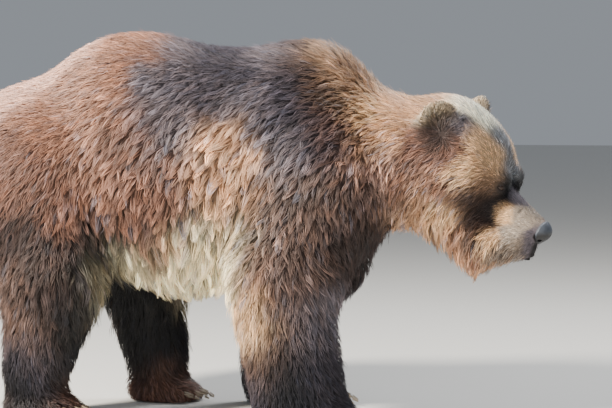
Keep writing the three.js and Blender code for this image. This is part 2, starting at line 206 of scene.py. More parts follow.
def foreleg(name, s):
    joints = [mirrored(FORELEGS[name][joint], s) for joint in ("elbow", "wrist")]
    upper_arm = egg(mirrored(UPPER_ARM[0], s), UPPER_ARM[1])
    return leg(mirrored(FORELEG["shoulder"], s), joints, FORELEG, [upper_arm], paw(joints[1], FOREPAW))


def hind_leg(name, s):
    joints = [mirrored(HIND_LEGS[name][joint], s) for joint in ("knee", "hock", "foot")]
    return leg(mirrored(HIND_LEG["hip"], s), joints, HIND_LEG, [], paw(joints[2], HIND_PAW))


def ear_turn(s):
    up = np.array(mirrored(EAR_UP, s))
    up /= np.linalg.norm(up)
    facing = np.array(mirrored(EAR_FACING, s))
    facing -= up * (facing @ up)
    facing /= np.linalg.norm(facing)
    return np.stack([np.cross(facing, up), facing, up], 1)


def ear(s):
    wide, thick, tall = EAR["wide"], EAR["thick"], EAR["tall"]
    hollow = egg((0, thick * 0.95, 4), (wide * 0.74, thick * 0.9, tall * 0.74))
    return placed(ear_turn(s), mirrored(EAR["at"], s), carve(12, egg((0, 0, 0), (wide, thick, tall)), hollow))


skull = blend(
    46,
    egg((-34, 0, -22), (142, 132, 112)),  # braincase
    egg((66, 0, -4), (96, 86, 74)),  # forehead
    *both(lambda s: egg((36, s * 88, -66), (124, 80, 106))),  # cheeks
    egg((66, 0, -150), (146, 108, 84)),  # back of the jaw
)
face = blend(
    22,
    *both(lambda s: egg((160, s * 44, -20), (44, 38, 27))),  # brows
    *both(lambda s: egg((168, s * 54, -54), (40, 34, 36))),  # round the eyes
    limb((180, 0, -110), (308, 0, -112), (68, 53)),  # muzzle
    *both(lambda s: egg((292, s * 27, -150), (56, 38, 48))),  # upper lips
    limb((110, 0, -195), (318, 0, -195), (58, 31), 1.1),  # lower jaw
    egg((342, 0, -164), (26, 32, 28)),  # front of the lips
    egg((342, 0, -186), (28, 27, 17)),  # chin
    egg((345, 0, -93), (30, 33, 28)),  # behind the nose's leather
)
bare_head = blend(18, blend(30, skull, face), *both(ear))
trunk = blend(
    70,
    egg(*RUMP),
    egg(*LOIN),
    limb(*BACK),
    egg(*BELLY),
    egg(*RIBS),
    egg(*HUMP),
    egg(*CHEST),
    *both(lambda s: egg(mirrored(SHOULDER[0], s), SHOULDER[1])),
)
outline = blend(
    60,
    trunk,
    limb(*NECK),
    placed(HEAD_TURN, HEAD_AT, bare_head),
    limb(*RUFF),
    *(foreleg(name, s) for name, s in SIDES.items()),
    *(hind_leg(name, s) for name, s in SIDES.items()),
    limb(*TAIL),
)

# ---- the coat: how it lies, and how long it is ------------------------------------------------

# Length and depth of the hair, width of a tuft, space between tufts, width of a lock, how far tufts
# gather into it, how much they wave, and how freely they hang: millimetres and shares.
STYLE_FIELDS = ("length", "depth", "width", "space", "lock", "gather", "wave", "hang")
STYLES = {
    "back": (44, 18, 2.2, 4.5, 9, 0.55, 0.06, 0.0),
    "hump": (56, 28, 2.3, 4.6, 10, 0.55, 0.07, 0.0),
    "flank": (60, 26, 2.4, 4.6, 21, 0.85, 0.09, 0.0),
    "fringe": (136, 72, 2.5, 4.8, 22, 0.82, 0.09, 0.92),
    "rump": (38, 12, 2.1, 4.2, 8, 0.45, 0.06, 0.0),
    "thigh": (58, 28, 2.4, 4.7, 16, 0.7, 0.1, 0.1),
    "shank": (50, 18, 2.3, 4.8, 11, 0.55, 0.07, 0.0),
    "shoulder": (58, 28, 2.4, 4.7, 15, 0.8, 0.13, 0.0),
    "neck": (54, 26, 2.3, 4.5, 14, 0.8, 0.13, 0.0),
    "nape": (42, 16, 2.1, 4.1, 8, 0.5, 0.06, 0.0),
    "ruff": (96, 50, 2.4, 4.4, 15, 0.82, 0.1, 0.88),
    "cheek": (46, 20, 2.1, 3.6, 11, 0.82, 0.13, 0.0),
    "face": (24, 9, 1.7, 2.8, 6, 0.5, 0.06, 0.0),
    "muzzle": (12, 5, 1.6, 2.3, 4, 0.35, 0.05, 0.0),
    "ear": (24, 8, 1.7, 2.9, 8, 0.25, 0.05, 0.0),
    "paw": (28, 10, 2.3, 4.2, 9, 0.35, 0.05, 0.0),
}
BODY_REACH = 95  # how far a guide's hold on the coat reaches: on the body, and on the head
HEAD_REACH = 42
HEAD_SAY = 8  # how much more a guide on the head counts there than the body's

DOWN = (0, 0, -1)
# Guides: a place on the bear, the way that its hair lies there, and its style. Those off the middle
# hold for both sides.
BODY_GUIDES = [
    ((-480, 0, 1120), (-1, 0, -0.1), "back"), ((-280, 0, 1110), (-1, 0, -0.05), "back"),
    ((-120, 0, 1110), (-1, 0, -0.1), "back"), ((10, 0, 1150), (-0.9, 0, 0.3), "hump"),
    ((130, 0, 1060), (-1, 0, 0.1), "hump"), ((260, 0, 980), (-1, 0, 0.1), "nape"),
    ((360, 0, 950), (-1, 0, 0.15), "nape"), ((-520, 190, 1020), (-0.85, 0.1, -0.45), "back"),
    ((-320, 190, 1000), (-0.7, 0.1, -0.65), "back"), ((-120, 190, 1000), (-0.65, 0.1, -0.7), "back"),
    ((40, 130, 1040), (-0.8, 0.1, -0.5), "hump"), ((40, 210, 900), (-0.55, 0, -0.8), "shoulder"),
    ((-540, 265, 850), (-0.5, 0, -0.85), "flank"), ((-350, 265, 840), (-0.38, 0, -0.9), "flank"),
    ((-170, 262, 840), (-0.35, 0, -0.9), "flank"), ((-540, 270, 680), (-0.25, 0, -0.95), "flank"),
    ((-360, 285, 660), (-0.15, 0, -1), "flank"), ((-190, 280, 660), (-0.2, 0, -1), "flank"),
    ((-470, 230, 540), (-0.05, 0, -1), "flank"), ((-300, 250, 540), DOWN, "flank"),
    ((-480, 170, 430), DOWN, "fringe"), ((-320, 180, 430), DOWN, "fringe"),
    ((-190, 170, 430), (0.02, 0, -1), "fringe"), ((-440, 40, 380), DOWN, "fringe"),
    ((-280, 40, 380), DOWN, "fringe"), ((-120, 30, 400), DOWN, "fringe"),
    ((-560, 215, 440), (0.05, 0, -1), "fringe"), ((-620, 60, 430), DOWN, "thigh"),
    ((-700, 0, 1060), (-1, 0, -0.25), "rump"), ((-880, 0, 1000), (-1, 0, -0.5), "rump"),
    ((-740, 200, 960), (-0.9, 0.1, -0.4), "rump"), ((-880, 180, 900), (-0.85, 0, -0.55), "rump"),
    ((-720, 260, 780), (-0.6, 0, -0.75), "rump"), ((-880, 270, 740), (-0.65, 0, -0.75), "rump"),
    ((-1060, 120, 860), (-0.5, 0, -0.9), "rump"), ((-1090, 60, 640), DOWN, "thigh"),
    ((-1000, 200, 560), (-0.25, 0, -1), "thigh"), ((-1110, 0, 740), (-0.2, 0, -1), "shank"),
    ((60, 280, 760), (-0.4, 0, -0.9), "shoulder"), ((30, 305, 620), (-0.3, 0, -0.95), "shoulder"),
    ((160, 240, 640), (0.1, 0, -1), "shoulder"), ((170, 220, 500), (0.45, 0, -0.9), "shoulder"),
    ((200, 90, 560), (0.2, 0, -1), "shoulder"), ((150, 0, 440), DOWN, "thigh"),
    ((170, 190, 880), (-0.75, 0, -0.6), "neck"), ((280, 150, 900), (-0.85, 0, -0.4), "nape"),
    ((290, 180, 790), (-0.65, 0, -0.75), "neck"), ((280, 160, 660), (-0.4, 0, -0.9), "neck"),
    ((370, 90, 590), (-0.2, 0, -1), "ruff"), ((500, 60, 500), (-0.1, 0, -1), "ruff"),
    ((420, 150, 660), (-0.4, 0, -0.9), "neck"),
]
# On the legs: a joint, the way from it, and the lie and style there.
FORELEG_GUIDES = [
    ("elbow", (160, 70, 0), (0.9, 0, -0.45), "shank"),
    ("elbow", (30, 115, 20), (-0.15, 0, -1), "shoulder"),
    ("elbow", (-140, 40, 10), (-0.4, 0, -0.9), "thigh"),
    ("elbow", (120, 90, -90), (0.3, 0, -0.95), "shank"),
    ("elbow", (-70, 95, -110), (-0.3, 0, -0.95), "shank"), ("elbow", (0, -110, -40), DOWN, "shank"),
    ("wrist", (20, 110, 90), DOWN, "shank"), ("wrist", (-130, 0, 70), (-0.3, 0, -0.95), "shank"),
    ("wrist", (130, 0, 60), (0.3, 0, -0.95), "shank"), ("wrist", (0, -100, 60), DOWN, "shank"),
    ("wrist", (-60, 0, -70), DOWN, "paw"), ("wrist", (60, 95, -70), (0.5, 0.2, -0.7), "paw"),
    ("wrist", (120, 0, -50), (0.9, 0, -0.4), "paw"),
    ("wrist", (60, -95, -70), (0.5, -0.2, -0.7), "paw"),
]
HIND_LEG_GUIDES = [
    ("knee", (-60, 130, 180), (-0.35, 0, -0.95), "thigh"),
    ("knee", (110, 90, 150), (-0.05, 0, -1), "thigh"), ("knee", (0, 140, 40), (-0.25, 0, -1), "thigh"),
    ("knee", (-130, 90, 0), (-0.3, 0, -1), "thigh"), ("knee", (110, 30, 0), (0.25, 0, -1), "thigh"),
    ("knee", (0, -120, 0), DOWN, "shank"), ("knee", (0, 120, -110), (-0.1, 0, -1), "thigh"),
    ("hock", (0, 100, 30), DOWN, "shank"), ("hock", (0, -90, 30), DOWN, "shank"),
    ("hock", (-110, 0, 20), (-0.1, 0, -1), "shank"), ("foot", (-70, 0, 40), (-0.2, 0, -1), "paw"),
    ("foot", (30, 80, 35), (0.6, 0.2, -0.6), "paw"), ("foot", (80, 0, 55), (0.9, 0, -0.35), "paw"),
    ("foot", (30, -80, 35), (0.6, -0.2, -0.6), "paw"),
]
# On the head: the place in its own frame, but the lie as on the body.
HEAD_GUIDES = [
    ((-110, 0, 85), (-1, 0, 0.1), "face"), ((-20, 0, 92), (-1, 0, 0.15), "face"),
    ((60, 0, 75), (-0.95, 0, 0.3), "face"), ((140, 20, 20), (-0.8, 0.1, 0.6), "face"),
    ((160, 60, -5), (-0.7, 0.2, 0.6), "face"), ((220, 0, -45), (-0.8, 0, 0.6), "muzzle"),
    ((300, 20, -60), (-0.8, 0, 0.6), "muzzle"), ((290, 55, -100), (-0.9, 0.1, 0.3), "muzzle"),
    ((230, 70, -100), (-0.9, 0.1, 0.3), "muzzle"), ((350, 30, -125), (-0.9, 0.2, 0.1), "muzzle"),
    ((320, 60, -160), (-0.8, 0.1, -0.4), "muzzle"), ((250, 62, -155), (-0.8, 0.1, -0.4), "muzzle"),
    ((345, 0, -205), (-0.6, 0, -0.8), "face"), ((290, 30, -220), (-0.5, 0, -0.8), "cheek"),
    ((230, 55, -210), (-0.6, 0, -0.75), "cheek"), ((190, 80, -75), (-0.95, 0.1, 0.1), "face"),
    ((170, 95, -130), (-0.8, 0.1, -0.4), "face"), ((100, 110, -20), (-1, 0.1, 0.05), "face"),
    ((40, 100, 50), (-1, 0.1, 0.05), "face"), ((30, 160, -60), (-0.9, 0.1, -0.35), "cheek"),
    ((110, 130, -90), (-0.85, 0.1, -0.4), "cheek"), ((110, 130, -160), (-0.5, 0.1, -0.8), "cheek"),
    ((0, 165, -130), (-0.5, 0.1, -0.85), "cheek"), ((-70, 160, -60), (-0.7, 0.1, -0.65), "cheek"),
    ((60, 110, -220), (-0.3, 0.1, -0.95), "ruff"), ((120, 100, -225), (-0.2, 0.1, -1), "ruff"),
    ((140, 60, -240), (-0.15, 0, -1), "ruff"), ((120, 0, -250), (-0.1, 0, -1), "ruff"),
    ((190, 80, -240), (-0.05, 0, -1), "ruff"), ((230, 70, -255), DOWN, "ruff"),
    ((240, 0, -262), DOWN, "ruff"), ((-130, 110, 40), (-1, 0.1, -0.2), "nape"),
    ((-56, 136, 48), (-0.45, 0.1, 0.9), "ear"), ((-66, 154, 74), (-0.45, 0.2, 0.9), "ear"),
    ((-26, 154, -8), (-0.5, 0.2, 0.8), "ear"), ((-98, 154, -6), (-0.8, 0.2, 0.2), "ear"),
]

# ---- markings ---------------------------------------------------------------------------------

PALETTE = {
    "blush": (198, 156, 138),
    "russet": (146, 105, 86),
    "umber": (118, 84, 70),
    "slate": (102, 94, 100),
    "smoke": (56, 52, 60),
    "tan": (204, 157, 122),
    "gold": (222, 180, 134),
    "amber": (244, 200, 154),
    "flax": (255, 240, 198),
    "cocoa": (94, 74, 66),
    "bark": (56, 43, 40),
    "char": (17, 18, 24),
    "cream": (252, 246, 220),
    "fawn": (174, 138, 108),
    "ash": (156, 142, 128),
    "pale": (222, 200, 168),
    "steel": (140, 142, 146),
    "drab": (132, 117, 104),
    # a pale bluish grey, only for the painted sheen on some locks
    "haze": (184, 174, 186),
}
# Markings: patches of one colour each, with the places that a patch spreads over.
BODY_PATCHES = {
    # The rump's top: a painted highlight, paler and pinker than its reddish brown.
    "rump": ("blush", [(-860, 100, 980), (-680, 0, 1080), (-1000, 150, 850)]),
    "haunch": ("umber", [(-850, 270, 760), (-700, 290, 690), (-1050, 100, 650), (-1110, 0, 740)]),
    "thigh's top": ("bark", [(-820, 320, 560)]),
    "loin": ("russet", [(-720, 220, 900), (-500, 60, 1120), (-600, 230, 960), (-590, 260, 800),
                        (-590, 280, 670)]),
    "saddle": ("slate", [(-380, 0, 1120), (-360, 200, 1000), (-340, 255, 880), (-110, 240, 960),
                         (-60, 0, 1110)]),
    "saddle's middle": ("smoke", [(-230, 30, 1100), (-230, 190, 1000)]),
    "flank": ("umber", [(-470, 268, 830), (-340, 280, 720), (-470, 280, 690), (-420, 250, 530)]),
    "behind the shoulder": ("tan", [(-220, 262, 840), (-200, 270, 690)]),
    "belly": ("flax", [(-370, 180, 450), (-230, 220, 470), (-205, 255, 550), (-300, 0, 380)]),
    # Painted shade between the thigh and the belly.
    "before the thigh": ("char", [(-620, 240, 480), (-620, 60, 450), (-490, 260, 570)]),
    "withers": ("bark", [(20, 0, 1140), (110, 150, 1010)]),
    "shoulder": ("smoke", [(10, 200, 960), (110, 235, 850)]),
    "shoulder blade": ("slate", [(30, 255, 830)]),
    "upper arm": ("cocoa", [(20, 300, 690), (30, 310, 560), (130, 270, 690), (-150, 265, 620)]),
    # The chest: its own dark brown, with painted shade on its front and underneath.
    "chest": ("bark", [(170, 250, 560), (190, 90, 560), (250, 170, 640), (150, 0, 440), (-100, 0, 420)]),
    "nape": ("fawn", [(140, 20, 1080), (170, 60, 1030), (340, 60, 950)]),
    "side of the neck": ("gold", [(250, 130, 900)]),
    "before the shoulder": ("blush", [(250, 190, 750)]),
    "lower neck": ("umber", [(180, 200, 880), (330, 170, 820), (410, 160, 760)]),
    "neck's lower edge": ("fawn", [(340, 170, 690)]),
    "throat": ("tan", [(400, 90, 580), (420, 140, 670), (500, 80, 510)]),
}
FORELEG_PATCHES = {
    "elbow": ("umber", [("elbow", (-70, 115, 30))]),
    "outside": ("cocoa", [("elbow", (60, 110, 40)), ("elbow", (30, 110, -100))]),
    # Painted light on the back of the foreleg, painted shade on its front.
    "behind": ("amber", [("elbow", (-90, 90, -90))]),
    "front": ("slate", [("elbow", (150, 45, -100)), ("elbow", (120, 90, -110))]),
    "shin": ("smoke", [("wrist", (100, 60, 100)), ("wrist", (120, 40, 20)), ("wrist", (-120, 30, 20))]),
    "above the wrist": ("cocoa", [("wrist", (-110, 60, 120))]),
    "wrist": ("char", [("wrist", (0, 110, 120)), ("wrist", (0, 90, 0)), ("wrist", (80, 0, -60))]),
    "inside": ("char", [("elbow", (0, -110, -40)), ("wrist", (0, -100, 0))]),
}
HIND_LEG_PATCHES = {
    "thigh": ("bark", [("knee", (-60, 130, 150)), ("knee", (-10, 135, 40)), ("knee", (80, -20, 150))]),
    "back of the thigh": ("cocoa", [("knee", (-90, 120, 0)), ("knee", (-60, 120, -130)),
                                    ("knee", (60, 130, 80))]),
    "before the knee": ("char", [("knee", (120, 60, 60)), ("knee", (120, 85, -10)),
                                 ("knee", (125, 10, -95)), ("knee", (50, 125, -50)),
                                 ("knee", (125, -15, -200))]),
    "fringe before the thigh": ("flax", [("knee", (192, 30, 30)), ("knee", (190, -20, -10))]),
    "inside": ("char", [("knee", (0, -110, 90)), ("knee", (90, -60, 60)), ("knee", (0, -110, 0)),
                        ("knee", (125, -80, -90)), ("knee", (25, -125, -100)), ("hock", (0, -80, 20))]),
    "outer shin": ("smoke", [("hock", (0, 90, 60))]),
    "shin": ("char", [("hock", (-60, 60, -20)), ("hock", (60, -30, -70))]),
    "foot": ("umber", [("foot", (-16, -80, 35)), ("foot", (54, -60, 35)), ("foot", (100, -30, 20))]),
    "foot's outside": ("char", [("foot", (-60, 30, 40)), ("foot", (60, 60, 40))]),
}
HEAD_PATCHES = {
    "back of the head": ("tan", [(-150, 190, -70), (-180, 130, -10), (-90, 60, 70)]),
    # The crown: pale cream, partly painted highlight where the light falls on its top.
    "crown": ("cream", [(-60, 60, 80), (20, 20, 80)]),
    # Painted shade: the front of the forehead bluish grey.
    "brow": ("steel", [(90, 0, 60), (170, 10, 0)]),
    # Painted shadow that the ear casts on the head.
    "before the ear": ("slate", [(10, 105, 50)]),
    # The temple: amber, partly painted light on its lit bulge.
    "temple": ("amber", [(60, 95, 40), (130, 70, 10), (100, 150, -50)]),
    "temple's lower end": ("fawn", [(150, 100, -45)]),
    # Painted shade round the eye and down from it towards the jaw.
    "eye": ("char", [(190, 45, -40), (210, 65, -110)]),
    "under the eye": ("bark", [(165, 100, -90), (190, 85, -150), (215, 95, -205)]),
    "cheek": ("umber", [(40, 160, -20), (-50, 190, -80), (-40, 200, -170), (70, 165, -110)]),
    "cheek's front": ("cocoa", [(130, 135, -105)]),
    "jaw": ("amber", [(110, 140, -180), (90, 135, -250), (250, 80, -190)]),
    "under the jaw": ("russet", [(150, 115, -240), (235, 105, -255)]),
    # The ear: its pale rim partly painted rim light, its dark hollow painted shade.
    "ear's rim": ("pale", [(-90, 155, 80), (-105, 170, 40)]),
    "ear": ("bark", [(-60, 150, 45), (-35, 160, -10)]),
    # The muzzle's side: gold, partly painted light on its lit swelling.
    "side of the muzzle": ("gold", [(240, 55, -105)]),
    "muzzle": ("ash", [(280, 40, -85), (285, 60, -140)]),
    "bridge": ("slate", [(240, 10, -55)]),
    "lips and chin": ("drab", [(290, 60, -205), (320, 48, -160)]),
    "round the nose": ("slate", [(340, 20, -135)]),
}


def spots(patches):
    """Each place of the patches, with its colour after it."""
    return [(*(place if isinstance(place[0], str) else (place,)), colour)
            for colour, spread in patches.values() for place in spread]


MARK_REACH = 52  # how far a colour reaches: on the body, on the head and on the muzzle
HEAD_MARK_REACH = 24
MUZZLE_MARK_REACH = 13
MUZZLE_START = 228


def to_world(local):
    return np.asarray(local) @ HEAD_TURN.T + HEAD_AT


def head_local(points):
    return (points - HEAD_AT) @ HEAD_TURN


def linear(rgb):
    c = np.asarray(rgb, dtype=np.float64) / 255
    return np.where(c <= 0.04045, c / 12.92, ((c + 0.055) / 1.055) ** 2.4)


def on_both_sides(entries, legs, head):
    """Every (place, rest...) of the three lists, for both sides: the places in the bear's frame,
    whether each is on the head, its side, and the rest of its entry."""
    rows = []
    for name, s in SIDES.items():
        for place, *rest in entries:
            rows.append((mirrored(place, s), False, s, rest))
        for joints, guides in legs:
            for joint, offset, *rest in guides:
                place = np.add(mirrored(joints[name][joint], s), mirrored(offset, s))
                rows.append((tuple(place), False, s, rest))
        for place, *rest in head:
            rows.append((tuple(to_world(mirrored(place, s))), True, s, rest))
    # A place on the middle plane comes up twice and is kept once.
    kept = [row for i, row in enumerate(rows) if row[2] < 0 or not any(
        np.allclose(row[0], other[0]) for other in rows[:i])]
    places, on_head, sides, rest = zip(*kept)
    return np.array(places).astype(np.float32), on_head, sides, rest


class Spread:
    """Values that are given at places, spread smoothly over the body."""

    def __init__(self, places, on_head, values, reach, head_reach, muzzle_reach):
        self.places = places
        self.values = np.float32(values)
        reaches = np.where(on_head, head_reach, reach)
        muzzle = np.array(on_head) & (head_local(places)[:, 0] > MUZZLE_START)
        reaches = np.where(muzzle, muzzle_reach, reaches)
        self.scale = (1 / (2 * reaches ** 2)).astype(np.float32)
        say = np.where(muzzle, HEAD_SAY ** 2, np.where(on_head, HEAD_SAY, 1.0))
        self.say = np.log(say).astype(np.float32)

    def at(self, points, chunk=4000):
        out = np.empty((len(points), self.values.shape[1]), np.float32)
        squares = (self.places ** 2).sum(1)
        for start in range(0, len(points), chunk):
            p = np.float32(points[start:start + chunk])
            away = (p ** 2).sum(1)[:, None] - 2 * p @ self.places.T + squares
            power = self.say - away * self.scale
            weight = np.exp(power - power.max(1, keepdims=True))
            out[start:start + chunk] = weight @ self.values / weight.sum(1, keepdims=True)
        return out


LEG_GUIDES = [(FORELEGS, FORELEG_GUIDES), (HIND_LEGS, HIND_LEG_GUIDES)]
LEG_MARKS = [(FORELEGS, spots(FORELEG_PATCHES)), (HIND_LEGS, spots(HIND_LEG_PATCHES))]
places, on_head, sides, said = on_both_sides(BODY_GUIDES, LEG_GUIDES, HEAD_GUIDES)
lie_and_style = [(*mirrored(lie, s), *STYLES[name]) for s, (lie, name) in zip(sides, said)]
groom = Spread(places, on_head, lie_and_style, BODY_REACH, HEAD_REACH, HEAD_REACH)
places, on_head, sides, said = on_both_sides(spots(BODY_PATCHES), LEG_MARKS, spots(HEAD_PATCHES))
mark_colours = [linear(PALETTE[name]) for name, in said]
marks = Spread(places, on_head, mark_colours, MARK_REACH, HEAD_MARK_REACH, MUZZLE_MARK_REACH)


def trait(style, name):
    """One of the values in STYLE_FIELDS, out of what groom gives at each place."""
    return style[:, 3 + STYLE_FIELDS.index(name)]


def noise(points, size, seed):
    """Smooth noise from 0 to 1, with lumps of a given size. Its large numbers only scramble."""
    q = points / size + seed * 17.3
    base = np.floor(q).astype(np.int64)
    part = q - base
    part = part * part * (3 - 2 * part)
    total = np.zeros(len(points))
    for corner in range(8):
        step = np.array((corner & 1, corner >> 1 & 1, corner >> 2 & 1))
        key = (base + step) @ np.array((73856093, 19349663, 83492791)) + seed * 7919
        key = (key ^ (key >> 13)) * 1274126177 & 0x7FFFFFFF
        value = ((key ^ (key >> 16)) & 0xFFFF) / 0xFFFF
        weight = np.where(step, part, 1 - part).prod(1)
        total += weight * value
    return total


# ---- from fields to meshes --------------------------------------------------------------------

def lattice(low, high, cell):
    return [np.arange(a, b + cell, cell, dtype=np.float32) for a, b in zip(low, high)]


def on_lattice(field, axes):
    values = np.empty([len(a) for a in axes], np.float32)
    y, z = (a.ravel() for a in np.meshgrid(axes[1], axes[2], indexing="ij"))
    slab = max(1, 200000 // len(y))
    for i in range(0, len(axes[0]), slab):
        x = axes[0][i:i + slab]
        points = np.stack([np.repeat(x, len(y)), np.tile(y, len(x)), np.tile(z, len(x))], 1)
        values[i:i + slab] = field(points).reshape(len(x), len(axes[1]), len(axes[2]))
    return values


def net(values, axes):
    """The surface where values cross zero, as points and quads: one point in each cell that it
    crosses, one quad round each crossed edge."""
    shape = values.shape
    cell = axes[0][1] - axes[0][0]
    flat = np.arange(values.size).reshape(shape)
    total = np.zeros((values.size, 4))
    rings = []
    for axis in range(3):
        a = np.moveaxis(values, axis, 0)[:-1]
        b = np.moveaxis(values, axis, 0)[1:]
        crossed = (a < 0) != (b < 0)
        cells = np.moveaxis(flat, axis, 0)[:-1][crossed]
        va, vb = a[crossed], b[crossed]
        crossing = np.stack(np.unravel_index(cells, shape), 1).astype(np.float64)
        crossing[:, axis] += va / (va - vb)
        strides = [shape[1] * shape[2], shape[2], 1]
        u, v = strides[(axis + 1) % 3], strides[(axis + 2) % 3]
        ring = np.stack([cells - u - v, cells - v, cells, cells - u], 1)
        ring[va > 0] = ring[va > 0][:, ::-1]
        rings.append(ring)
        for corner in ring.T:
            for column in range(3):
                total[:, column] += np.bincount(corner, crossing[:, column], values.size)
            total[:, 3] += np.bincount(corner, minlength=values.size)
    used = np.flatnonzero(total[:, 3])
    number = np.full(values.size, -1)
    number[used] = np.arange(len(used))
    low = np.array([a[0] for a in axes])
    points = total[used, :3] / total[used, 3:] * cell + low
    return points, number[np.concatenate(rings)]


def triangles_of(quads):
    return np.concatenate([quads[:, [0, 1, 2]], quads[:, [0, 2, 3]]])


def settle(field, points, rounds, limit, h=0.5):
    """Moves points onto a field's surface, at most limit in each round."""
    points = np.float32(points)
    for _ in range(rounds):
        value = field(points)
        ahead = [field(points + np.float32(h) * (np.arange(3) == axis)) for axis in range(3)]
        g = np.stack([(v - value) / h for v in ahead], 1)
        step = -value[:, None] * g / np.maximum((g * g).sum(1, keepdims=True), 0.05)
        size = np.linalg.norm(step, axis=1, keepdims=True)
        points = points + step * np.minimum(1, limit / np.maximum(size, 1e-6))
    return points


def refine(points, triangles, wanted):
    """Halves the edges whose both ends are wanted."""
    n = len(points)
    edges = np.sort(triangles[:, [[0, 1], [1, 2], [2, 0]]], axis=2)
    keys, where = np.unique(edges[..., 0] * n + edges[..., 1], return_inverse=True)
    ends = np.stack([keys // n, keys % n], 1)
    cut = wanted[ends].all(1)
    middle = np.full(len(keys), -1)
    middle[cut] = n + np.arange(cut.sum())
    points = np.concatenate([points, points[ends[cut]].mean(1)])
    m = middle[where.reshape(-1, 3)]
    count = (m >= 0).sum(1)
    pieces = [triangles[count == 0]]
    for number in (1, 2, 3):
        t, mid = triangles[count == number], m[count == number]
        # Turn each triangle until its first edges are the cut ones.
        turn = np.argmax(mid >= 0, 1) if number == 1 else (np.argmin(mid, 1) + 1) % 3
        order = (np.arange(3) + turn[:, None]) % 3
        (a, b, c), (p, q, r) = np.take_along_axis(t, order, 1).T, np.take_along_axis(mid, order, 1).T
        corners = {
            1: [(a, p, c), (p, b, c)],
            2: [(p, b, q), (a, p, q), (a, q, c)],
            3: [(a, p, r), (p, b, q), (r, q, c), (p, q, r)],
        }[number]
        pieces += [np.stack(corner, 1) for corner in corners]
    return points, np.concatenate(pieces)


class Sampled:
    """A field read from its values on a lattice, for many places at once."""

    def __init__(self, values, axes):
        self.values = values
        self.low = np.array([a[0] for a in axes], np.float32)
        self.cell = float(axes[0][1] - axes[0][0])
        self.top = np.array(values.shape) - 2

    def at(self, points):
        """The value and the slope at each point."""
        q = (points - self.low) / self.cell
        base = np.clip(np.floor(q).astype(np.int64), 0, self.top)
        t = np.clip(q - base, 0, 1)
        corner = {}
        for n in range(8):
            i, j, k = n >> 2 & 1, n >> 1 & 1, n & 1
            corner[i, j, k] = self.values[base[:, 0] + i, base[:, 1] + j, base[:, 2] + k]
        x, y, z = t.T

        def mix(a, b, w):
            return a + (b - a) * w
        face = {(i, j): mix(corner[i, j, 0], corner[i, j, 1], z) for i in (0, 1) for j in (0, 1)}
        line = [mix(face[i, 0], face[i, 1], y) for i in (0, 1)]
        value = mix(line[0], line[1], x)
        dx = line[1] - line[0]
        dy = mix(face[0, 1] - face[0, 0], face[1, 1] - face[1, 0], x)
        rise = {(i, j): corner[i, j, 1] - corner[i, j, 0] for i in (0, 1) for j in (0, 1)}
        dz = mix(mix(rise[0, 0], rise[0, 1], y), mix(rise[1, 0], rise[1, 1], y), x)
        return value, np.stack([dx, dy, dz], 1) / self.cell


# ---- the skin ---------------------------------------------------------------------------------

BODY_LOW, BODY_HIGH, BODY_CELL = (-1189, -374, -34), (758, 374, 1198), 11.0
DEEPEST, OUTERMOST = -130, 15  # where the outline's field is moved in by the coat's depth
FACE_START = 100  # how far along the skull the face's details begin
FINER = (-130, 110)  # beyond each of these along the skull the skin's net is halved
THROAT = -330  # below this height in the head's frame it isn't


def skin_field(depth):
    """The bear under its coat: the outline moved in by the coat's depth at each point."""
    def field(p):
        d = outline(p) + depth
        q = (p - np.float32(HEAD_AT)) @ np.float32(HEAD_TURN)
        near = q[:, 0] > FACE_START
        d[near] = face_details(d[near], q[near])
        return np.maximum(d, -p[:, 2])
    return field


def above_mouth(q):
    front, _, height = MOUTH["front"]
    return q[:, 2] - height - MOUTH["slope"] * (q[:, 0] - front)


def face_details(d, q):
    """Adds the mouth, the groove under the nose, the eye sockets and the lids to a head's field."""
    q = folded(q)
    # The mouth's line, under the overhang of the upper lip.
    drop = above_mouth(q)
    d = d + grow(q[:, 0], MOUTH["back"], 20) * (5.0 * bump(drop, 3.2) - 2.5 * bump(drop - 9, 7))
    # The groove below the nose.
    d = d + grow(q[:, 0], 335, 15) * grow(q[:, 2], -172, 8) * 3.0 * bump(q[:, 1], 2.6)
    for place, reach, rise in MUZZLE_FOLDS:
        d = d - rise * np.exp(-(((q - np.float32(place)) / np.float32(reach)) ** 2).sum(1))
    at = np.float32(EYE["at"])
    socket, slit = (egg(at + np.float32(way), size) for way, size in (EYE_SOCKET, EYE_SLIT))
    d = carve(6, lambda _: d, socket)(q)
    lids = np.linalg.norm(q - at, axis=1) - (EYE["radius"] + EYE["lid"])
    lids = np.maximum(lids, -slit(q))
    return blend(7, lambda _: d, lambda _: lids)(q)


def make_skin():
    axes = lattice(BODY_LOW, BODY_HIGH, BODY_CELL)
    shell = on_lattice(outline, axes)
    inner = shell.copy()
    band = (shell < OUTERMOST) & (shell > DEEPEST)
    cells = np.nonzero(band)
    points = np.stack([axes[n][cells[n]] for n in range(3)], 1)
    inner[band] = shell[band] + trait(groom.at(points), "depth")
    inner = np.maximum(inner, -axes[2][None, None, :])
    points, quads = net(inner, axes)
    triangles = largest(triangles_of(quads), len(points))
    for reach in FINER:
        local = head_local(points)
        points, triangles = refine(points, triangles, (local[:, 0] > reach) & (local[:, 2] > THROAT))
        head = head_local(points)[:, 0] > FINER[0] - 20
        depth = trait(groom.at(points[head]), "depth")
        points[head] = settle(skin_field(depth), points[head], 2, 4)
    return points, triangles, Sampled(shell, axes)


def largest(triangles, count):
    """The triangles of the largest connected surface."""
    label = np.arange(count)
    while True:
        low = label[triangles].min(1)
        new = label.copy()
        for corner in range(3):
            np.minimum.at(new, triangles[:, corner], low)
        new = new[new]
        if (new == label).all():
            break
        label = new
    winner = np.bincount(label[triangles[:, 0]]).argmax()
    return triangles[label[triangles[:, 0]] == winner]


def to_model(points):
    return points * MM + SHIFT


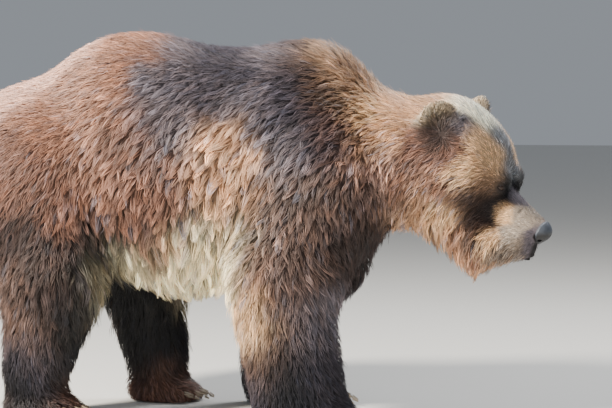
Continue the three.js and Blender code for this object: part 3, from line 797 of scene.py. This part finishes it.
def make_mesh(name, points, triangles, normals=None):
    """A smooth mesh object in the model's frame, from millimetres in the bear's."""
    mesh = bpy.data.meshes.new(name)
    mesh.vertices.add(len(points))
    mesh.vertices.foreach_set("co", np.float32(to_model(points)).ravel())
    mesh.loops.add(triangles.size)
    mesh.loops.foreach_set("vertex_index", np.int32(triangles).ravel())
    mesh.polygons.add(len(triangles))
    mesh.polygons.foreach_set("loop_start", np.arange(0, triangles.size, 3, dtype=np.int32))
    mesh.polygons.foreach_set("use_smooth", np.ones(len(triangles), bool))
    mesh.update()
    if normals is not None:
        mesh.normals_split_custom_set_from_vertices(normals)
    piece = bpy.data.objects.new(name, mesh)
    bpy.context.scene.collection.objects.link(piece)
    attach(piece, "root")
    return piece


def paint(mesh, name, colours):
    """Stores a colour at every vertex."""
    rgba = np.ones((len(colours), 4), np.float32)
    rgba[:, :3] = colours
    mesh.attributes.new(name, "FLOAT_COLOR", "POINT").data.foreach_set("color", rgba.ravel())


def used_only(points, triangles):
    used, new = np.unique(triangles, return_inverse=True)
    return points[used], new.reshape(-1, 3)


# Where the model's frame lies in the bear's, from its eyes.
eye_boxes = [np.array(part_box(f"eye_{name}")).mean(0) for name in SIDES]
eye_design = [to_world(mirrored(EYE["at"], s)) * MM for s in SIDES.values()]
SHIFT = np.mean(eye_boxes, 0) - np.mean(eye_design, 0)

skin_points, skin_triangles, shell = make_skin()
skin_points, skin_triangles = used_only(skin_points, skin_triangles)


# Patches have uneven edges: the size of the lumps, how far they shift a place, and their seeds.
WOBBLES = ((70, 70, (1, 2, 3)), (22, 34, (11, 12, 13)))
HEAD_CALM = 0.8  # how much less on the face


def markings(points):
    """The coat's colour at places on the bear: linear RGB."""
    shift = sum(far * (np.stack([noise(points, size, seed) for seed in seeds], 1) - 0.5)
                for size, far, seeds in WOBBLES)
    calm = grow(head_local(points)[:, :1], -150, 150)
    return np.clip(marks.at(points + shift * (1 - HEAD_CALM * calm)), 0, 1)


# ---- the coat ---------------------------------------------------------------------------------

COAT_TRIANGLES = 1_450_000
PIECE_TRIANGLES = 195_000
ONE_RING, TWO_RINGS = 26, 60  # a tuft shorter than these has one ring or two, a longer one three
RING_WIDTHS = {3: (0.9, 1.0, 0.62), 2: (1.0, 0.8), 1: (1.0,)}
RING_CORNERS = ((1, -0.35), (-1, -0.35), (0, 0.55))  # across and up, in half widths
PIECE_ENDINGS = {3: "", 2: "_short", 1: "_fine"}
NEAR_SHARE, FAR_SHARE, FAR_START = 1.1, 0.85, 60  # more tufts on the camera's side of this y
LEAD_AREA = 36  # one tuft leads in this much of a lock's width squared
LOCK_RADIUS = 2.2  # tufts further off their lead than this many lock widths don't gather to it

# How tufts differ. Ranges: their share of the style's length, how high they lie, and how far off
# the body a hanging lock may stay.
LENGTHS, LIFT_LIMITS, LOOSE = (0.6, 1.15), (0.5, 1.04), (4, 38)
# Amounts of turn, lift and wave: the first is shared by a lock, the second is each tuft's own.
TURNS, LIFTS, PHASES = (0.16, 0.11), (0.09, 0.05), (2 * math.pi, 0.4)
USUAL_LIFT, STRAYS, STRAY_LIFT = 0.86, 0.05, 1.5  # strays are a small share and lie higher
ROOT_SUNK = 2.0
FLOOR_HAIR = 3.0  # how high hair lies on the floor

# How the coat's colour differs: by locks, by single tufts, by patches, and from root to tip.
LOCK_TONE, FINE_TONE, PATCH_TONE, WARMTH = 0.38, 0.42, 0.65, 0.05
# Painted sheen on some locks: where it starts in a lock's random amount, its share, and how much lighter it
# is than the coat.
SHEEN_FROM, SHEEN_SHARE, SHEEN_LIGHT = 0.9, 0.7, 1.4
# From root to tip: the tip lighter and the root darker, more in gathered locks and less in hanging ones;
# partly the hair's own lighter tips, partly painted shade between the locks.
TIP_LIGHT, ROOT_DARK, GATHERED_DARK, HANGING_LIGHT = 1.14, 0.36, 0.3, 0.6

NOSTRIL = egg((356, 20, -113), (9, 8, 7))
nostril_slit = blend(2, limb((331, 32, -98), (343, 28, -111), (2.4, 3.8)),
                     limb((343, 28, -111), (352, 17, -120), (3.8, 4.4)))


def bare(points, normals):
    """Where no hair grows: nose, lids, lips and soles."""
    q = folded(head_local(points))
    nose = egg(NOSE["at"], np.add(NOSE["size"], 1.0))(np.float32(q)) < 0
    eye = np.linalg.norm(q - np.array(EYE["at"]), axis=1) < EYE["bare"]
    drop = above_mouth(q)
    lips = (drop > -13) & (drop < 2) & (q[:, 0] > 322)
    split = (q[:, 0] > 347) & (q[:, 1] < 17) & (q[:, 2] < -104) & (q[:, 2] > -186)
    nostril = nostril_slit(np.float32(q)) < 4
    sole = ((points[:, 2] < 22) & (normals[:, 2] < -0.5)) | (points[:, 2] < 5)
    return nose | eye | lips | split | nostril | sole


def rings_for(length):
    return np.where(length < ONE_RING, 1, np.where(length < TWO_RINGS, 2, 3))


def tuft_triangles(rings):
    return 6 * rings - 2


def scatter():
    """Roots spread over the skin, closer together where the tufts are small."""
    corners = skin_points[skin_triangles]
    cross = np.cross(corners[:, 1] - corners[:, 0], corners[:, 2] - corners[:, 0])
    area = np.linalg.norm(cross, axis=1) / 2
    normals = cross / np.maximum(2 * area[:, None], 1e-9)
    middles = corners.mean(1)
    style = groom.at(middles)
    share = area / trait(style, "space") ** 2
    share *= np.where(middles[:, 1] < FAR_START, NEAR_SHARE, FAR_SHARE)
    share[bare(middles, normals)] = 0
    cost = tuft_triangles(rings_for(trait(style, "length")))
    share *= COAT_TRIANGLES / (share * cost).sum()
    count = np.floor(share + random.random(len(share))).astype(int)
    chosen = np.repeat(np.arange(len(share)), count)
    r, s = random.random((2, len(chosen)))
    r = np.sqrt(r)
    weights = np.stack([1 - r, r * (1 - s), r * s], 1)
    return (corners[chosen] * weights[..., None]).sum(1)


def nearest_parents(roots, lock_width):
    """For each root, a nearby one that leads its lock, and how far away that is."""
    leads = random.random(len(roots)) < LEAD_AREA / lock_width ** 2
    tree = kdtree.KDTree(int(leads.sum()))
    for i in np.flatnonzero(leads):
        tree.insert(roots[i], i)
    tree.balance()
    found = [tree.find(root)[1:] for root in roots]
    return np.array([f[0] for f in found]), np.array([f[1] for f in found])


def lie_at(points):
    """The way that the hair lies: as the guides say, but out to the rim on the ears."""
    lie = unit(groom.at(points)[:, :3])
    for s in SIDES.values():
        q = (head_local(points) - mirrored(EAR["at"], s)) @ ear_turn(s)
        q[:, 2] += EAR_HAIR["root"]
        away = np.linalg.norm(q / (EAR["wide"], EAR_HAIR["wide"], EAR_HAIR["tall"]), axis=1)
        inside = np.clip(2.6 - 1.6 * away, 0, 1)
        q[:, 1] = 0
        outward = unit(q) @ ear_turn(s).T @ HEAD_TURN.T
        lie = unit(lie * (1 - inside[:, None]) + outward * inside[:, None])
    return lie


def comb(roots, lengths):
    """The middle lines of tufts: from each root along the lie of the coat, rising to its tips."""
    style = groom.at(roots)
    count = len(roots)
    length = trait(style, "length") * random.uniform(*LENGTHS, count)
    depth = trait(style, "depth")
    parent, away = nearest_parents(roots, trait(style, "lock"))
    gather = trait(style, "gather") * (away < LOCK_RADIUS * trait(style, "lock"))
    # What a lock's tufts share, with a little of their own: a turn to one side, how high they lie,
    # the waves in them, and how far off the body loose ones hang.
    turn = random.normal(0, TURNS[0], count)[parent] + random.normal(0, TURNS[1], count)
    lift = USUAL_LIFT + random.normal(0, LIFTS[0], count)[parent] + random.normal(0, LIFTS[1], count)
    lift = lift.clip(*LIFT_LIMITS) * np.where(random.random(count) < STRAYS, STRAY_LIFT, 1)
    phase = random.uniform(0, PHASES[0], count)[parent] + random.normal(0, PHASES[1], count)
    wave = trait(style, "wave") * length
    loose = random.uniform(*LOOSE, count)[parent]
    hang = trait(style, "hang")[:, None]
    start_level, normal = shell.at(roots)
    line = [roots - ROOT_SUNK * unit(normal)]
    p = roots
    for step in range(1, lengths + 1):
        t = step / lengths
        _, g = shell.at(p)
        n = unit(g)
        lie = lie_at(p)
        side = np.cross(n, lie)
        lie = unit(lie + side * turn[:, None])
        flat = unit(lie - n * (lie * n).sum(1, keepdims=True))
        ahead = unit(flat * (1 - hang) + lie * hang)
        q = p + ahead * (length / lengths)[:, None]
        level, g = shell.at(q)
        wanted = start_level + depth * np.sin(t * math.pi / 2) * lift
        free = np.minimum(level, loose)
        target = wanted * (1 - hang[:, 0]) + free * hang[:, 0]
        q = q + unit(g) * ((target - level) / np.maximum(np.linalg.norm(g, axis=1), 0.4))[:, None]
        sway = wave * (np.sin(phase + 5.0 * t) - np.sin(phase)) * t
        line.append(q + unit(side) * sway[:, None])
        p = q
    line = np.stack(line, 1)
    for step in range(1, lengths + 1):
        t = step / lengths
        pull = (gather * t ** 1.3)[:, None]
        apart = (roots - roots[parent]) * (1 - pull)
        line[:, step] = line[:, step] * (1 - pull) + (line[parent, step] + apart * 0.35) * pull
    # Hair that reaches the floor lies along it.
    line[..., 2] = np.maximum(line[..., 2], FLOOR_HAIR)
    return line, style, parent


def tufts(line, normals, width):
    """Closed, three-sided tufts round their middle lines, flat to the body and pointed."""
    count, rings = line.shape[0], line.shape[1] - 1
    along = np.gradient(line, axis=1)
    side = unit(np.cross(along, normals[:, None, :]))
    up = unit(np.cross(side, along))
    points = []
    own = []
    for k, share in enumerate(RING_WIDTHS[rings]):
        half = (width * share / 2)[:, None]
        for across, rise in RING_CORNERS:
            offset = side[:, k] * half * across + up[:, k] * half * rise
            points.append(line[:, k] + offset)
            own.append(unit(offset))
    points.append(line[:, rings])
    own.append(up[:, rings])
    triangles = [(2, 1, 0)]
    for k in range(rings - 1):
        for a in range(3):
            b = (a + 1) % 3
            low, high = 3 * k, 3 * k + 3
            triangles += [(low + a, high + b, high + a), (low + a, low + b, high + b)]
    last = 3 * (rings - 1)
    triangles += [(last + a, last + (a + 1) % 3, 3 * rings) for a in range(3)]
    points = np.stack(points, 1)
    each = points.shape[1]
    faces = np.array(triangles)[None] + (np.arange(count) * each)[:, None, None]
    return points.reshape(-1, 3), faces.reshape(-1, 3), np.stack(own, 1)


def region_of(roots):
    """The part of the coat that each root belongs to."""
    local = head_local(roots)
    x, y, z = roots.T
    names = np.full(len(roots), "trunk", dtype="U12")
    names[(x > 215)] = "neck"
    names[(local[:, 0] > -90) & (x > 330) & (local[:, 2] > -215)] = "head"
    names[(z < 400) & (np.abs(y) > 72) & (x > -300)] = "foreleg"
    names[(z < 430) & (np.abs(y) > 60) & (x < -420)] = "hind_leg"
    names[(names == "trunk") & (x < -560)] = "rump"
    names[(names == "trunk") & (z < 540)] = "belly"
    return np.char.add(names, np.where(y < 0, "_right", "_left"))


PATCH = 0.003  # the size of a tuft's patch on the map


def unwrap(name, roots):
    """Places from 0 to 1 on an unwrap of the skin: round and along a leg, round and along the rest."""
    if "leg" in name:
        middle = np.median(roots, axis=0)
        angle = np.arctan2(roots[:, 1] - middle[1], roots[:, 0] - middle[0])
        along = roots[:, 2]
    elif "head" in name:
        local = head_local(roots)
        angle = np.arctan2(local[:, 1], local[:, 2] + 90)
        along = local[:, 0]
    else:
        angle = np.arctan2(roots[:, 1], roots[:, 2] - 720)
        along = roots[:, 0]
    uv = np.stack([angle, along], 1)
    low, high = uv.min(0), uv.max(0)
    return (uv - low) / (high - low) * 0.99 + PATCH


def add_coat(name, line, normals, width, colours):
    rings = line.shape[1] - 1
    points, faces, own = tufts(line, normals, width)
    shade = unit(own * 0.65 + normals[:, None, :] * 0.65).reshape(-1, 3)
    piece = make_mesh(name, points, faces, shade)
    paint(piece.data, "Coat colour", colours.reshape(-1, 3))
    u = np.append(np.tile([0.0, 0.5, 1.0], rings), 0.5)
    v = np.append(np.repeat(np.arange(rings) / rings, 3), 1.0)
    places_uv = unwrap(name, line[:, 0])[:, None, :] + np.stack([u, v], 1) * PATCH
    loops = places_uv.reshape(-1, 2)[faces.ravel()]
    layer = piece.data.uv_layers.new(name="OFBake")
    layer.data.foreach_set("uv", np.float32(loops).ravel())
    piece.data.materials.append(coat_material)


def coat_colours(roots, parent, style, rings):
    """A colour for each vertex of each tuft: dark at the root, partly painted shade between the locks, light
    at the tip.
    """
    def by_lock():
        return random.normal(0, 1, len(roots))[parent]

    base = markings(roots)
    patchy = 0.5 * noise(roots, 46, 5) + 0.5 * noise(roots, 19, 6)
    lock = by_lock()
    single = random.normal(0, 1, len(roots))
    gather, hang = trait(style, "gather"), trait(style, "hang")
    fleck = np.where(rings == 1, FINE_TONE, 0.3 - 0.16 * gather)
    bright = np.exp(LOCK_TONE * lock * (0.2 + gather) + fleck * single
                    + PATCH_TONE * (patchy - 0.5) * gather)
    warm = 1 + WARMTH * by_lock()
    tint = np.stack([warm, np.ones(len(roots)), 1 / warm], 1)
    # Painted sheen: some locks are painted paler and bluish, as a highlight, less where the coat is dark.
    glint = (np.clip(by_lock() - SHEEN_FROM, 0, 1) * gather * SHEEN_SHARE)[:, None]
    haze = linear(PALETTE["haze"])
    sheen_colour = haze * np.minimum(base.mean(1, keepdims=True) / haze.mean() * SHEEN_LIGHT, 1)
    tip = (base * (1 - glint) + sheen_colour * glint) * bright[:, None] * tint
    drop = ((ROOT_DARK + GATHERED_DARK * gather) * (1 - HANGING_LIGHT * hang))[:, None]
    columns = []
    for k in range(rings + 1):
        shade = TIP_LIGHT - drop * (1 - k / rings) ** 1.2
        columns += [tip * shade] * (3 if k < rings else 1)
    return np.stack(columns, 1)


def node_material(name, roughness, specular):
    material = bpy.data.materials.new(name)
    material.use_nodes = True
    shader = material.node_tree.nodes["Principled BSDF"]
    shader.inputs["Roughness"].default_value = roughness
    shader.inputs["Specular IOR Level"].default_value = specular
    return material, material.node_tree, shader


def add_node(tree, kind, values=()):
    """A shader node with some of its inputs set."""
    node = tree.nodes.new("ShaderNode" + kind)
    for name, value in dict(values).items():
        node.inputs[name].default_value = value
    return node


def hair_material(name, roughness, specular):
    """The vertices' own colours, with a fine grain over them."""
    material, tree, shader = node_material(name, roughness, specular)
    colour = add_node(tree, "Attribute")
    colour.attribute_name = "Coat colour"
    grain = add_node(tree, "TexNoise", {"Scale": 160, "Detail": 3})
    ramp = add_node(tree, "MapRange", {"To Min": 0.72, "To Max": 1.28})
    mix = add_node(tree, "Mix")
    mix.data_type = "RGBA"
    mix.blend_type = "MULTIPLY"
    mix.inputs["Factor"].default_value = 1
    tree.links.new(grain.outputs["Fac"], ramp.inputs["Value"])
    tree.links.new(colour.outputs["Color"], mix.inputs[6])
    tree.links.new(ramp.outputs["Result"], mix.inputs[7])
    tree.links.new(mix.outputs[2], shader.inputs["Base Color"])
    return material


def two_tone(name, roughness, specular, scale, *colours):
    """A material that wanders between two colours."""
    material, tree, shader = node_material(name, roughness, specular)
    tone = add_node(tree, "TexNoise", {"Scale": scale})
    ramp = add_node(tree, "ValToRGB")
    for element, colour in zip(ramp.color_ramp.elements, colours):
        element.color = (*linear(colour), 1)
    tree.links.new(tone.outputs["Fac"], ramp.inputs["Fac"])
    tree.links.new(ramp.outputs["Color"], shader.inputs["Base Color"])
    return material


coat_material = hair_material("Coat", 0.5, 0.3)
skin_material = hair_material("Skin", 0.7, 0.25)

roots = scatter()
wanted_rings = rings_for(trait(groom.at(roots), "length"))
part = region_of(roots)
for rings in (3, 2, 1):
    chosen = np.flatnonzero(wanted_rings == rings)
    line, style, parent = comb(roots[chosen], rings)
    normals = unit(shell.at(roots[chosen])[1])
    width = trait(style, "width") * random.uniform(0.8, 1.25, len(chosen))
    colours = coat_colours(roots[chosen], parent, style, rings)
    for name in np.unique(part[chosen]):
        members = np.flatnonzero(part[chosen] == name)
        batches = math.ceil(len(members) * tuft_triangles(rings) / PIECE_TRIANGLES)
        for n, batch in enumerate(np.array_split(members, batches)):
            label = f"coat_{name}{PIECE_ENDINGS[rings]}" + (f"_{n + 1}" if batches > 1 else "")
            add_coat(label, line[batch], normals[batch], width[batch], colours[batch])

# ---- skin, nose, eyes and claws ---------------------------------------------------------------

FLESH = ["trunk", "neck", "tail", "head", "lower_jaw"]
FLESH += [f"{part_name}_{side}" for side in SIDES for part_name in (
    "foreleg", "forepaw", "hind_leg", "hind_paw", "ear")]

skin = make_mesh("skin", skin_points, skin_triangles)
local = folded(head_local(skin_points))
skin_colours = markings(skin_points) * 0.5 * (1 + 0.75 * grow(local[:, :1], 210, 60))
eye_away = np.linalg.norm(local - np.array(EYE["at"]), axis=1)
dark = np.maximum.reduce([
    np.clip(1.5 - np.abs(above_mouth(local) + 6) / 8, 0, 1) * grow(local[:, 0], 300, 30),  # the lips
    np.clip(1.6 - eye_away / 16, 0, 1),  # round the eyes
    grow(local[:, 0], 344, 8) * np.clip(1.8 - local[:, 1] / 16, 0, 1),  # below the nose: bare dark skin, with painted shade on the front of the upper lip
    # painted shade in the nostrils
    np.clip(1.6 - nostril_slit(np.float32(local)) / 3, 0, 1),
    (skin_points[:, 2] < 6) * 1.0,  # the soles
])[:, None]
skin_colours = skin_colours * (1 - dark) + linear((30, 27, 28)) * dark
paint(skin.data, "Coat colour", skin_colours)
skin.data.materials.append(skin_material)
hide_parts(*FLESH)


def nose_field(p):
    """The nose's leather: the pad on the tip of the muzzle, with its two nostrils."""
    d = np.maximum(face(p) + 0.4, egg(NOSE["at"], NOSE["size"])(p))
    hole = blend(4, NOSTRIL, nostril_slit)(folded(p))
    return np.maximum(d, -hole) + 2.0 * bump(p[:, 1], 1.8) * grow(p[:, 2], -84, -8)


NOSE_LOW, NOSE_HIGH, NOSE_CELL = (316, -46, -134), (402, 46, -50), 1.6
axes = lattice(NOSE_LOW, NOSE_HIGH, NOSE_CELL)
nose_points, nose_quads = net(on_lattice(nose_field, axes), axes)
nose_triangles = largest(triangles_of(nose_quads), len(nose_points))
nose_points, nose_triangles = used_only(nose_points, nose_triangles)
nose = make_mesh("nose_leather", to_world(nose_points), nose_triangles)
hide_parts("nose")
nose_material, tree, shader = node_material("Nose leather", 0.42, 0.5)
pebbles = add_node(tree, "TexVoronoi", {"Scale": 420})
dents = add_node(tree, "Bump", {"Strength": 0.35, "Distance": 0.0008})
tree.links.new(pebbles.outputs["Distance"], dents.inputs["Height"])
tree.links.new(dents.outputs["Normal"], shader.inputs["Normal"])
tone = add_node(tree, "Attribute")
tone.attribute_name = "Leather"
tree.links.new(tone.outputs["Color"], shader.inputs["Base Color"])
# Painted shade on the leather: in the nostrils, and on the underside where it faces down.
q = folded(nose_points)
slit = np.clip(1.4 - np.minimum(nostril_slit(q), NOSTRIL(q)) / 4, 0, 1)
normals = np.empty(len(nose_points) * 3, np.float32)
nose.data.vertices.foreach_get("normal", normals)
# painted shade on the underside, by how far it faces down
under = np.clip(0.1 - normals.reshape(-1, 3)[:, 2] * 2.2, 0, 1)
dark = np.maximum(slit, under)[:, None]
grey = linear((72, 77, 86)) * (0.75 + 0.5 * noise(nose_points, 9, 3))[:, None]
paint(nose.data, "Leather", grey * (1 - dark) + linear((16, 16, 20)) * dark)
nose.data.materials.append(nose_material)

EYE_CELL = 1.4
eye_material = two_tone("Eye", 0.2, 0.35, 120, (18, 11, 8), (52, 30, 18))
for name, s in SIDES.items():
    centre = np.array(EYE["at"]) * (1, s, 1)
    reach = EYE["radius"] + 3
    axes = lattice(centre - reach, centre + reach, EYE_CELL)
    ball = egg(centre, (EYE["radius"],) * 3)
    points, quads = net(on_lattice(ball, axes), axes)
    points = settle(ball, points, 2, 1)
    eye = make_mesh(f"eyeball_{name}", to_world(points), triangles_of(quads))
    eye.data.materials.append(eye_material)
    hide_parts(f"eye_{name}")

claw_material = two_tone("Claw horn", 0.38, 0.5, 60, (78, 68, 58), (186, 170, 146))
for name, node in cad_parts.items():
    if name.startswith("claw"):
        node.data.materials.clear()
        node.data.materials.append(claw_material)
        node.modifiers.new("Round", "SUBSURF").render_levels = 2

# ---- floor, light and camera ------------------------------------------------------------------

floor_mesh = bpy.data.meshes.new("floor")
floor_mesh.from_pydata([(-30, -30, 0), (30, -30, 0), (30, 30, 0), (-30, 30, 0)], [], [(0, 1, 2, 3)])
floor = bpy.data.objects.new("floor", floor_mesh)
bpy.context.scene.collection.objects.link(floor)
floor_material, tree, shader = node_material("Floor", 0.9, 0.2)
shader.inputs["Base Color"].default_value = (0.66, 0.65, 0.62, 1)
floor.data.materials.append(floor_material)

world = bpy.data.worlds.new("Studio")
bpy.context.scene.world = world
world.use_nodes = True
world.node_tree.nodes["Background"].inputs["Color"].default_value = (0.80, 0.86, 0.95, 1)
world.node_tree.nodes["Background"].inputs["Strength"].default_value = 0.34


def add_light(name, place, aim, size, power, colour):
    light = bpy.data.lights.new(name, "AREA")
    light.shape = "DISK"
    light.size = size
    light.energy = power
    light.color = colour
    lamp = bpy.data.objects.new(name, light)
    lamp.location = place
    lamp.rotation_euler = (Vector(aim) - Vector(place)).to_track_quat("-Z", "Y").to_euler()
    bpy.context.scene.collection.objects.link(lamp)


add_light("Key", (-3.4, -3.1, 3.7), (0, 0, 0.7), 0.9, 1050, (1.0, 0.93, 0.82))
add_light("Front", (1.5, -5.0, 3.0), (0, 0, 0.6), 3.0, 80, (0.9, 0.95, 1.0))
add_light("Back", (2.0, 2.2, 4.6), (0.3, 0, 0.9), 1.6, 250, (0.97, 0.98, 1.0))

CAMERA_TURN = math.radians(12)  # towards the bear's front, from its right side
CAMERA_AWAY = 6.5
CAMERA_HEIGHT = 1.0
AIM_HEIGHT = 0.6424
PHOTO_WIDTH = 612
PIXELS_PER_METRE = 330
SENSOR = 36.0

camera_data = bpy.data.cameras.new("Camera")
camera = bpy.data.objects.new("Camera", camera_data)
bpy.context.scene.collection.objects.link(camera)
aim = Vector((SHIFT[0], SHIFT[1], AIM_HEIGHT))
camera.location = (
    SHIFT[0] + CAMERA_AWAY * math.sin(CAMERA_TURN),
    SHIFT[1] - CAMERA_AWAY * math.cos(CAMERA_TURN),
    CAMERA_HEIGHT,
)
camera.rotation_euler = (aim - camera.location).to_track_quat("-Z", "Y").to_euler()
camera_data.sensor_width = SENSOR
camera_data.lens = PIXELS_PER_METRE * (aim - camera.location).length / PHOTO_WIDTH * SENSOR
bpy.context.scene.camera = camera
